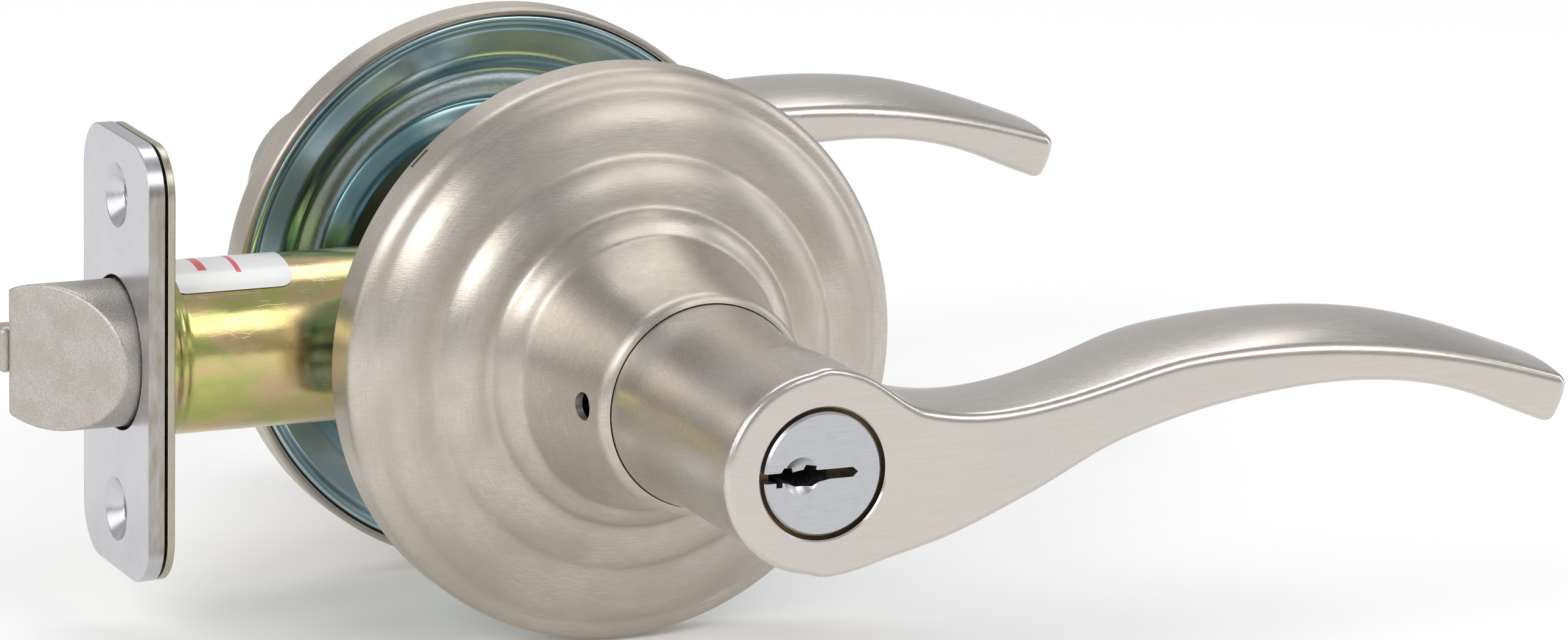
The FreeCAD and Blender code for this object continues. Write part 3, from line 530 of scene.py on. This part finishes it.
def yellow_zinc():
    """Yellow dichromate over zinc: gold with green and pink clouds, bright and a little scratched."""
    f = Finish("yellow_zinc_dichromate", (0.62, 0.53, 0.32), 1.0, 0.2)
    clouds = f.noise(f.stretched((0.06, 0.11, 0.11)), 1.0, 3.0, 0.5, 0.1)
    patches = f.noise(f.stretched((0.12, 0.10, 0.10), (20, 0, 40)), 1.0, 2.0, 0.5, 0.2)
    film = f.ramp(clouds, [
        (0.30, (0.56, 0.42, 0.16)), (0.40, (0.66, 0.55, 0.24)), (0.49, (0.47, 0.53, 0.16)),
        (0.57, (0.62, 0.53, 0.22)), (0.68, (0.66, 0.43, 0.31))])
    base = f.mix(f.range(patches, 0.45, 0.65, 0.0, 0.7), film, (0.66, 0.47, 0.30))
    scratch = f.cells(f.stretched((0.25, 1.2, 1.0), (0, 0, 30)), 1.0, "DISTANCE_TO_EDGE")
    scratched = f.range(f.noise(f.mm, 0.35, 2.0), 0.5, 0.6, 0.0, 1.0)
    marks = f.math("MULTIPLY", f.range(scratch, 0.0, 0.025, 1.0, 0.0), scratched)
    f.colour(f.mix(f.math("MULTIPLY", marks, 0.4), base, (0.75, 0.70, 0.55)))
    wave = f.noise(f.stretched((0.15, 0.3, 0.3)), 1.0, 3.0)
    f.roughness(f.range(wave, 0.3, 0.7, 0.13, 0.27))
    f.bump((wave, 0.05), (f.noise(f.mm, 4.0, 3.0), 0.004), (marks, 0.004))
    return f.material


def blue_zinc():
    """Blue-white zinc over a pressed sheet: smooth and teal, with a pale grainy highlight painted on the
    rolled torus, which is also rougher there.
    """
    f = Finish("blue_white_zinc", (0.50, 0.62, 0.65), 1.0, 0.2)
    broad = f.noise(f.mm, 0.07, 2.0, 0.5, 0.4)
    grain = f.noise(f.mm, 2.6, 4.0, 0.65)
    x, y, z = f.split()
    radius = f.axis_radius(x, z)
    # The rolled torus between radius 24.2 and 28.6 mm, where a pale highlight is painted into the colour.
    painted_highlight_band = f.math("MULTIPLY", f.range(radius, 24.2, 24.8, 0.0, 1.0), f.range(radius, 28.0, 28.6, 1.0, 0.0))
    base = f.ramp(broad, [
        (0.34, (0.36, 0.52, 0.56)), (0.5, (0.47, 0.61, 0.64)), (0.66, (0.60, 0.69, 0.69))])
    # Painted highlight: the torus band is mixed toward pale blue-white, broken up by grain.
    f.colour(f.mix(f.math("MULTIPLY", painted_highlight_band, f.range(grain, 0.3, 0.7, 0.3, 1.0)), base, (0.74, 0.79, 0.80)))
    f.roughness(f.range(f.math("ADD", f.math("MULTIPLY", grain, 0.3), painted_highlight_band), 0.0, 1.3, 0.16, 0.36))
    f.bump((broad, 0.05), (f.math("MULTIPLY", grain, f.range(painted_highlight_band, 0.0, 1.0, 0.15, 1.0)), 0.03))
    return f.material


def plain_metal(name, colour, low, high):
    """Machined or drawn metal for the inner pieces."""
    f = Finish(name, colour, 1.0, (low + high) / 2)
    lines = f.noise(f.stretched((3.0, 0.6, 3.0)), 1.0, 4.0)
    broad = f.noise(f.mm, 0.2, 3.0)
    dark = tuple(c * 0.8 for c in colour)
    f.colour(f.mix(f.range(f.math("ADD", lines, broad), 0.7, 1.3, 0.0, 1.0), dark, colour))
    f.roughness(f.range(lines, 0.3, 0.7, low, high))
    f.bump((lines, 0.004))
    return f.material


def label_film():
    """White printed film with two plain bars in red."""
    white = (0.86, 0.86, 0.85)
    f = Finish("white_label_film", white, 0.0, 0.28)
    f.set("Coat Weight", 0.4)
    f.set("Coat Roughness", 0.12)
    x, y, z = f.split()
    around = f.math("MULTIPLY", f.math("ARCTAN2", y, z), 11.2)

    def band(value, low, high):
        return f.math("MULTIPLY", f.math("GREATER_THAN", value, low), f.math("LESS_THAN", value, high))

    long_bar = f.math("MULTIPLY", band(x, -50.5, -49.3), band(around, -3.5, 4.5))
    short_bar = f.math("MULTIPLY", band(x, -45.6, -44.9), band(around, -4.5, 3.0))
    f.colour(f.mix(f.math("MAXIMUM", long_bar, short_bar), white, (0.72, 0.06, 0.09)))
    f.bump((f.noise(f.mm, 1.2, 2.0), 0.01))
    return f.material


rose_finish = rose_nickel()
lever_finish = lever_nickel()
plate_finish = plate_nickel()
plug_finish = plug_nickel()
bolt_finish = sintered()
yellow_finish = yellow_zinc()
blue_finish = blue_zinc()
label_finish = label_film()
steel_finish = plain_metal("clear_zinc_steel", (0.56, 0.57, 0.58), 0.25, 0.4)
spring_finish = plain_metal("spring_steel", (0.40, 0.40, 0.41), 0.25, 0.4)
backing_finish = plain_metal("backing_plate_zinc", (0.52, 0.49, 0.38), 0.25, 0.4)
brass_finish = plain_metal("machined_brass", (0.66, 0.49, 0.20), 0.2, 0.35)
tarnished_finish = plain_metal("tarnished_brass", (0.20, 0.14, 0.06), 0.4, 0.6)


def dress(obj, material):
    """Give an object one material."""
    obj.data.materials.clear()
    obj.data.materials.append(material)


def piece(obj, body, nodes, material):
    """Put a finished mesh on its body, in the place of CAD nodes."""
    dress(obj, material)
    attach(obj, body)
    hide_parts(*nodes)


# ------------------------------------------------------------------ levers

top_edge = spline([
    (0, 12.3), (4, 11.1), (8, 8.9), (12, 7.25), (16, 6.2), (21, 5.6), (26, 5.7), (32, 6.5), (40, 8.2),
    (48, 9.9), (56, 10.5), (65, 10.45), (74, 9.8), (83, 8.55), (92, 6.65), (98, 5.0), (104, 3.2)])
low_edge = spline([
    (0, -12.45), (6, -12.1), (12, -10.9), (18, -9.2), (24, -6.85), (31, -3.75), (38, -0.3), (45, 2.05),
    (53, 3.9), (61, 5.05), (69, 5.55), (76, 5.3), (83, 4.25), (90, 2.15), (96, -0.4), (100, -2.0),
    (104, -3.6)])
crown = spline([
    (0, 0.2), (20, 0.8), (40, 1.1), (50, 1.6), (60, 2.35), (72, 2.8), (82, 2.65), (92, 1.8), (104, 0.7)])
depth = spline([(0, 14.3), (24, 15.0), (36, 16.2), (48, 18.8), (58, 20.2), (75, 20.5), (104, 20.0)])
hub_radius = spline([
    (-1, 12.85), (1, 12.7), (5, 12.4), (12, 12.25), (24, 12.25), (30, 12.45), (35, 13.05), (46, 13.05)])

TIP_X = 103.3
TIP_MIDDLE_Z = 3.6
TIP_CURVE = 0.06
BLADE_EDGE = 1.15
HUB_EDGE = 1.0
HUB_FILLET = 2.2
HUB_LENGTH = 44.5
LEVER_CELL = 0.3


def steepness(edge, x):
    """How much further apart two points are along an edge than along X."""
    slope = (edge(x + 0.1) - edge(x - 0.1)) / 0.2
    return np.sqrt(1 + slope ** 2)


def lever_field(x, y, z):
    """The exterior lever: the hub runs inward from its face, and the blade is carried off it along X."""
    s = y - FACE_Y
    r = np.sqrt(x ** 2 + z ** 2)
    deep = depth(x)
    across = np.clip((s - 0.5 * deep) / (0.5 * deep), -1.2, 1.2)
    upper = (z - top_edge(x) - crown(x) * (1 - across ** 2)) / steepness(top_edge, x)
    lower = (low_edge(x) - z) / steepness(low_edge, x)
    lean = 2 * TIP_CURVE * (z - TIP_MIDDLE_Z)
    tip = (x - TIP_X + TIP_CURVE * (z - TIP_MIDDLE_Z) ** 2 + 0.006 * (s - 10) ** 2) / np.sqrt(1 + lean ** 2)
    blade = meet([upper, lower, s - deep, tip, -x], BLADE_EDGE)
    sides = join(r - hub_radius(s), blade, HUB_FILLET)
    body = meet([sides, -s], HUB_EDGE)
    return np.maximum(body, s - HUB_LENGTH)


blank = solid_from(
    "exterior_wave_lever", lever_field, (-14.2, FACE_Y - 1.2, -14.2), (105.0, FACE_Y + 46, 14.6), LEVER_CELL)
interior_lever = mirrored(blank, "interior_wave_lever")
set_in(interior_lever, INTERIOR_FACE_OUT - FACE_OUT)


def bore_tool(radius, depth_mm, chamfer, side, face_out):
    """A cutter for the chamfered bore in a lever's face."""
    line = [(0.0, -1.0), (radius + chamfer + 1.0, -1.0), (radius + chamfer, 0.0), (radius, chamfer),
            (radius, depth_mm), (0.0, depth_mm)]
    tool = [(r, side * (HALF_DOOR + face_out - s)) for r, s in line]
    return lathe("bore_tool", tool, closed=True, segments=160, smooth=False)


def catch_tool():
    """A cutter for the release hole, which runs along X through the rose's neck into the hub."""
    ring = circle(CATCH_HOLE_RADIUS, 48, CATCH_Y, 0.0)
    return loft("catch_tool", [(ring, -45), (ring, -8.3)], "X", smooth=False)


def spindle_tool():
    """A cutter for the hub's inner end, which slips over the spindle."""
    line = [(0.0, -42.0), (8.65, -42.0), (8.65, -58.8), (0.0, -58.8)]
    return lathe("spindle_tool", line, closed=True, segments=128, smooth=False)


carve(blank, [bore_tool(8.3, 27.0, 0.2, EXTERIOR, FACE_OUT), spindle_tool(), catch_tool()])
piece(blank, "exterior_handle", ["exterior_lever"], lever_finish)
carve(interior_lever, [bore_tool(6.45, 24.0, 0.25, INTERIOR, INTERIOR_FACE_OUT)])
piece(interior_lever, "interior_handle", ["interior_lever"], lever_finish)


# ------------------------------------------------------------------ roses

ROSE_RADIUS = 37.6
ROSE_WALL = 0.95
ROSE_HEM = 0.25
ROSE_OUTER = [
    (ROSE_RADIUS, 4.9), (36.9, 6.15, -0.2), (35.6, 6.75, -0.12), (34.95, 6.9), (28.9, 9.75, -0.82),
    (27.2, 9.9), (21.6, 12.44, -0.76), (20.8, 12.6), (17.9, 15.3, -0.5), (14.4, 32.0, 0.6),
    (13.9, 32.9, -0.12), (13.2, 33.2, -0.1),
]


def rose_profile():
    """The pressed sheet's section, as (radius, out): its face, and the same line one wall further in."""
    outer = trace((ROSE_RADIUS, ROSE_HEM), ROSE_OUTER, 0.2)
    outer = soften(outer, 0.22, 0.5)
    tangent = np.gradient(outer, axis=0)
    tangent /= np.linalg.norm(tangent, axis=1)[:, None]
    inner = outer - ROSE_WALL * np.stack([tangent[:, 1], -tangent[:, 0]], axis=1)
    lip = trace((37.35, 0.0), [(ROSE_RADIUS, ROSE_HEM)], 0.2)[:-1]
    hem = [[outer[0, 0] - ROSE_WALL, ROSE_HEM], [outer[0, 0] - 0.8, 0.0]]
    return np.vstack([lip, outer, inner[::-1][1:], hem])


def rose(side, name):
    ring = rose_profile()
    line = np.stack([ring[:, 0], side * (HALF_DOOR + ring[:, 1])], axis=1)
    return lathe(name, line, closed=True, segments=384)


def rim_slot_tool():
    """The slit near the exterior rose's back edge that takes a screwdriver to pry it off."""
    outline = [(-1.5, 35.0), (1.5, 35.0), (1.5, 39.0), (-1.5, 39.0)]
    tool = prism("rim_slot_tool", outline, "Y", -18.9, -18.2, smooth=False)
    tool.data.transform(Matrix.Rotation(math.radians(-44.5), 4, "Y"))
    return tool


exterior_rose = rose(EXTERIOR, "exterior_stepped_rose")
carve(exterior_rose, [catch_tool(), rim_slot_tool()], 40)
piece(exterior_rose, "case", ["exterior_rose"], rose_finish)
interior_rose = rose(INTERIOR, "interior_stepped_rose")
piece(interior_rose, "case", ["interior_rose"], rose_finish)


# ------------------------------------------------------------------ liners

LINER_WALL = 1.15
LINER_FACE = [
    (36.35, 0.25), (35.35, 0.3), (34.75, 1.9), (34.3, 2.15), (30.6, 3.9), (29.2, 4.0), (28.9, 3.75),
    (28.6, 4.05), (28.3, 4.25), (24.3, 5.8, 1.1), (23.9, 6.8), (23.7, 8.2), (23.2, 8.4), (9.9, 8.4),
]


def liner(side, name):
    face = trace((36.5, 0.5), LINER_FACE, 0.4)
    face = soften(face, 0.3, 0.3)
    back = face[::-1] + np.array([0.0, LINER_WALL])
    ring = np.vstack([face, back])
    line = np.stack([ring[:, 0], side * (HALF_DOOR + ring[:, 1])], axis=1)
    return lathe(name, line, closed=True, segments=288)


for side, where in ((EXTERIOR, "exterior"), (INTERIOR, "interior")):
    sheet_plate = liner(side, where + "_dished_liner")
    piece(sheet_plate, "case", [where + "_liner"], blue_finish)


# ------------------------------------------------------------------ latch

PLATE_WIDTH = 25.4
PLATE_HEIGHT = 57.15
PLATE_CORNER = 6.35
BACK_PLATE_SHRINK = 0.1
SCREW_HOLE_ZS = (-20.6375, 20.6375)
TUBE_RADIUS = 11.1
TUBE_BORE = 9.9
TUBE_END = -20.0
BOLT_RADIUS = 9.5
BOLT_TIP_X = -73.025
BOLT_TIP_Y = 4.5
BOLT_FLAT_Y = 5.1
BOLT_SLOPE_LENGTH = 10.7
PLUNGER_START_Y = 5.2
PLUNGER_HALF_HEIGHT = 3.0
PLUNGER_TIP_X = -74.025


def plate_outline(shrink=0.0, step=0.4):
    """The faceplate's outline in Y and Z, with rounded corners."""
    width = PLATE_WIDTH - 2 * shrink
    height = PLATE_HEIGHT - 2 * shrink
    corner = PLATE_CORNER - shrink
    w, h = width / 2, height / 2
    points = []
    for cy, cz, start in ((w - corner, h - corner, 0), (corner - w, h - corner, 90),
                          (corner - w, corner - h, 180), (w - corner, corner - h, 270)):
        count = int(corner * math.pi / 2 / step)
        for k in range(count + 1):
            a = math.radians(start + 90 * k / count)
            points.append((cy + corner * math.cos(a), cz + corner * math.sin(a)))
    return points


def disc_tool(radius, x0, x1, z=0.0, end_radius=None, count=128):
    """A round cutter along X, tapered if it has an end radius."""
    ends = [(circle(r, count, 0.0, z), x) for r, x in ((radius, x0), (end_radius or radius, x1))]
    return loft("disc_tool", ends, "X", smooth=False)


def faceplate():
    plate = prism("latch_faceplate", plate_outline(), "X", -60.325, -58.125)
    tools = [disc_tool(9.95, -61, -57)]
    for z in SCREW_HOLE_ZS:
        tools.append(disc_tool(2.2, -61, -57, z, count=64))
        tools.append(disc_tool(4.4, -60.525, -58.5, z, 2.2, 64))
    carve(plate, tools)
    return round_edges(plate, 0.3, 3, 30)


def back_plate():
    plate = prism("latch_backing_plate", plate_outline(BACK_PLATE_SHRINK), "X", -57.775, -56.725)
    tools = [disc_tool(10.6, -59, -55)]
    for z in SCREW_HOLE_ZS:
        tools.append(disc_tool(2.5, -59, -55, z, count=64))
    carve(plate, tools)
    return round_edges(plate, 0.2, 2, 30)


piece(faceplate(), "case", ["latch_front_plate"], plate_finish)
piece(back_plate(), "case", ["latch_back_plate"], backing_finish)

tube_line = trace((TUBE_BORE, TUBE_END), [
    (10.9, TUBE_END), (TUBE_RADIUS, -20.3, -0.05), (TUBE_RADIUS, -53.9), (11.5, -55.2, 0.12),
    (12.1, -56.65, 0.1), (TUBE_BORE, -56.65), (TUBE_BORE, TUBE_END)], 0.5)
tube = lathe("latch_housing_tube", tube_line[:-1], closed=True, segments=192, axis="X", sharp_deg=40)
piece(tube, "case", ["latch_tube"], yellow_finish)


def bolt_field(x, y, z):
    """The round bolt with its sloped face on the exterior side and its flat back."""
    r = np.sqrt(y ** 2 + z ** 2)
    slope = (BOLT_RADIUS + BOLT_TIP_Y) / BOLT_SLOPE_LENGTH
    wedge = (-(x - BOLT_TIP_X) * slope - (y - BOLT_TIP_Y)) / math.hypot(slope, 1.0)
    body = meet([r - BOLT_RADIUS, BOLT_TIP_X - x, wedge, y - BOLT_FLAT_Y], 0.3)
    return np.maximum(body, x + 54.03)


bolt_cell = 0.24
bolt = solid_from("sloped_latch_bolt", bolt_field, (-74, -10.2, -10.2), (-53, 10.2, 10.2), bolt_cell)
piece(bolt, "bolt", ["latch_bolt"], bolt_finish)


def plunger_field(x, y, z):
    """The bar on the bolt's flat back, a little longer than the bolt."""
    r = np.sqrt(y ** 2 + z ** 2)
    sides = [r - BOLT_RADIUS, PLUNGER_START_Y - y, np.abs(z) - PLUNGER_HALF_HEIGHT, PLUNGER_TIP_X - x]
    return np.maximum(meet(sides, 0.8), x + 50.03)


plunger = solid_from("deadlatch_plunger_bar", plunger_field, (-75, 4.4, -4), (-49.4, 10.4, 4), 0.25)
piece(plunger, "plunger", ["deadlatch_plunger"], bolt_finish)


# ------------------------------------------------------------------ key plug

PLUG_RADIUS = 6.35
PLUG_HEAD_RADIUS = 7.75
PLUG_TAIL_RADIUS = 5.0
DIMPLE_X = -2.9


def key_plug():
    """The plug, with its warded keyway and the dimple round the keyway's middle."""
    line = trace((0.0, FACE_Y), [
        (7.45, FACE_Y), (PLUG_HEAD_RADIUS, FACE_Y + 0.3, 0.06), (PLUG_HEAD_RADIUS, FACE_Y + 2.0),
        (PLUG_RADIUS, FACE_Y + 2.0), (PLUG_RADIUS, FACE_Y + 27.1), (PLUG_TAIL_RADIUS, FACE_Y + 27.1),
        (PLUG_TAIL_RADIUS, FACE_Y + 28.8), (0.0, FACE_Y + 28.8)], 0.6)
    plug = lathe("keyed_plug", line, closed=False, segments=160)
    h = 0.62
    ward = 0.6
    slot_line = [
        (-8.6, -h), (-6.2, -h), (-6.2, -h - ward), (-5.4, -h - ward), (-5.4, -h), (-4.6, -h - 0.25),
        (-3.4, -h - 0.8), (-1.4, -h - 0.8), (-0.6, -h - 0.25), (0.9, -h), (3.9, -h), (4.6, 0.0), (3.9, h),
        (-0.9, h), (-0.9, h + 0.55), (-2.0, h + 0.55), (-2.2, h - 0.1), (-3.6, h - 0.35), (-3.9, h + 0.35),
        (-5.2, h + 0.6), (-5.6, h), (-8.6, h),
    ]
    keyway = prism("keyway_tool", slot_line, "Y", FACE_Y - 1, FACE_Y + 25.6, smooth=False)
    dimple = [(0.0, -1.0), (2.75, -1.0), (2.35, 0.0), (1.5, 0.75), (0.6, 1.15), (0.0, 1.2)]
    dimple = [(r, FACE_Y + s) for r, s in dimple]
    cone = lathe("dimple_tool", dimple, closed=False, segments=96, smooth=False)
    cone.data.transform(Matrix.Translation((DIMPLE_X * MM, 0, 0)))
    return carve(plug, [keyway, cone], 30)


piece(key_plug(), "plug", ["key_plug"], plug_finish)


# ------------------------------------------------------------------ label on the tube

def tube_label():
    """A rounded white patch bent round the top of the tube."""
    x0, x1 = -55.3, -38.4
    radius = 11.22
    half_arc = math.radians(39) * radius
    middle = math.radians(90)
    corner = 2.2
    columns, rows = 40, 48
    points, faces = [], []
    for i in range(columns + 1):
        x = x0 + (x1 - x0) * i / columns
        inset = max(0.0, corner - min(x - x0, x1 - x))
        reach = half_arc - (corner - math.sqrt(max(corner ** 2 - inset ** 2, 0.0)))
        for j in range(rows + 1):
            a = middle + (2 * j / rows - 1) * reach / 11.2
            points.append((x, radius * math.cos(a), radius * math.sin(a)))
    for i in range(columns):
        for j in range(rows):
            k = i * (rows + 1) + j
            faces.append([k, k + rows + 1, k + rows + 2, k + 1])
    return make_object("tube_label", points, faces)


piece(tube_label(), "case", ["latch_label"], label_finish)


# ------------------------------------------------------------------ CAD pieces that keep their shape

by_slot = {
    "lever_nickel": lever_finish, "rose_nickel": rose_finish, "plate_nickel": plate_finish,
    "plug_nickel": plug_finish, "bolt_steel": bolt_finish, "latch_zinc": yellow_finish,
    "liner_zinc": blue_finish, "inner_steel": steel_finish, "spring_steel": spring_finish,
    "cylinder_brass": brass_finish, "label_film": label_finish,
}
by_node = {"cylinder_shell": tarnished_finish}
for part in frame["record"]["subparts"]:
    dress(frame["nodes"][part["node"]], by_node.get(part["node"], by_slot[part["material_slot"]]))


# ------------------------------------------------------------------ stage, light, camera

def stage_cove():
    """Pale floor that sweeps up into a backdrop behind the object."""
    low = -37.9
    half_width = 3600.0
    bend_start, bend_radius = 2400.0, 1200.0
    line = [(-half_width, low), (bend_start, low)]
    for k in range(1, 13):
        a = math.radians(90 * k / 12)
        line.append((bend_start + bend_radius * math.sin(a), low + bend_radius * (1 - math.cos(a))))
    line.append((bend_start + bend_radius, 5200.0))
    points, faces = [], []
    for i, (y, z) in enumerate(line):
        points += [(-half_width, y, z), (half_width, y, z)]
        if i:
            k = 2 * i
            faces.append([k - 2, k - 1, k + 1, k])
    cove = make_object("pale_floor", points, faces)
    f = Finish("pale_floor_paint", (0.93, 0.93, 0.925), 0.0, 0.7)
    f.set("Emission Color", (1.0, 1.0, 1.0, 1.0))
    f.set("Emission Strength", 0.1)
    dress(cove, f.material)


def softbox(name, place, aim, size, watts, colour=(1, 1, 1)):
    """A soft rectangular light; its places and size are in metres."""
    light = bpy.data.lights.new(name, "AREA")
    light.shape = "RECTANGLE"
    light.size, light.size_y = size
    light.energy = watts
    light.color = colour
    obj = bpy.data.objects.new(name, light)
    obj.location = place
    obj.rotation_euler = (Vector(aim) - Vector(place)).to_track_quat("-Z", "Y").to_euler()
    bpy.context.scene.collection.objects.link(obj)


def light_the_scene():
    world = bpy.data.worlds.new("studio")
    world.use_nodes = True
    world.node_tree.nodes["Background"].inputs[0].default_value = (0.95, 0.96, 1.0, 1.0)
    world.node_tree.nodes["Background"].inputs[1].default_value = 0.5
    bpy.context.scene.world = world
    warm = (1.0, 0.985, 0.96)
    softbox("front_softbox", (0.55, -0.95, 0.90), (0.02, -0.02, 0.0), (0.95, 0.55), 3.8, warm)
    softbox("left_front_softbox", (-0.95, -0.75, 0.66), (0, -0.02, 0), (0.62, 0.60), 5.2, warm)
    softbox("left_softbox", (-1.15, 0.10, 0.55), (0, 0, 0), (0.7, 0.8), 2.4)
    softbox("top_softbox", (0.15, 0.55, 1.25), (0.02, 0, 0), (1.2, 0.6), 5.2)
    softbox("right_strip", (1.05, -0.25, 0.35), (0.02, -0.03, 0), (0.22, 0.8), 1.6)


def place_camera():
    """A long lens to the left of the keyed face and a little above it, with a slight roll."""
    azimuth, elevation, roll = (math.radians(a) for a in (-24.18, 13.63, 1.21))
    back = Vector((math.sin(azimuth) * math.cos(elevation), -math.cos(azimuth) * math.cos(elevation),
                   math.sin(elevation)))
    right = (-back).cross(Vector((0, 0, 1))).normalized()
    up = right.cross(-back)
    tilted_right = math.cos(roll) * right + math.sin(roll) * up
    tilted_up = -math.sin(roll) * right + math.cos(roll) * up
    camera = bpy.data.cameras.new("camera")
    camera.lens = 179.15
    camera.sensor_width = 36.0
    camera.clip_end = 20.0
    obj = bpy.data.objects.new("camera", camera)
    turn = Matrix((tilted_right, tilted_up, back)).transposed().to_4x4()
    obj.matrix_world = Matrix.Translation((-0.3782, -0.9157, 0.2402)) @ turn
    bpy.context.scene.collection.objects.link(obj)
    bpy.context.scene.camera = obj


stage_cove()
light_the_scene()
place_camera()
bpy.context.scene.view_settings.view_transform = "Standard"
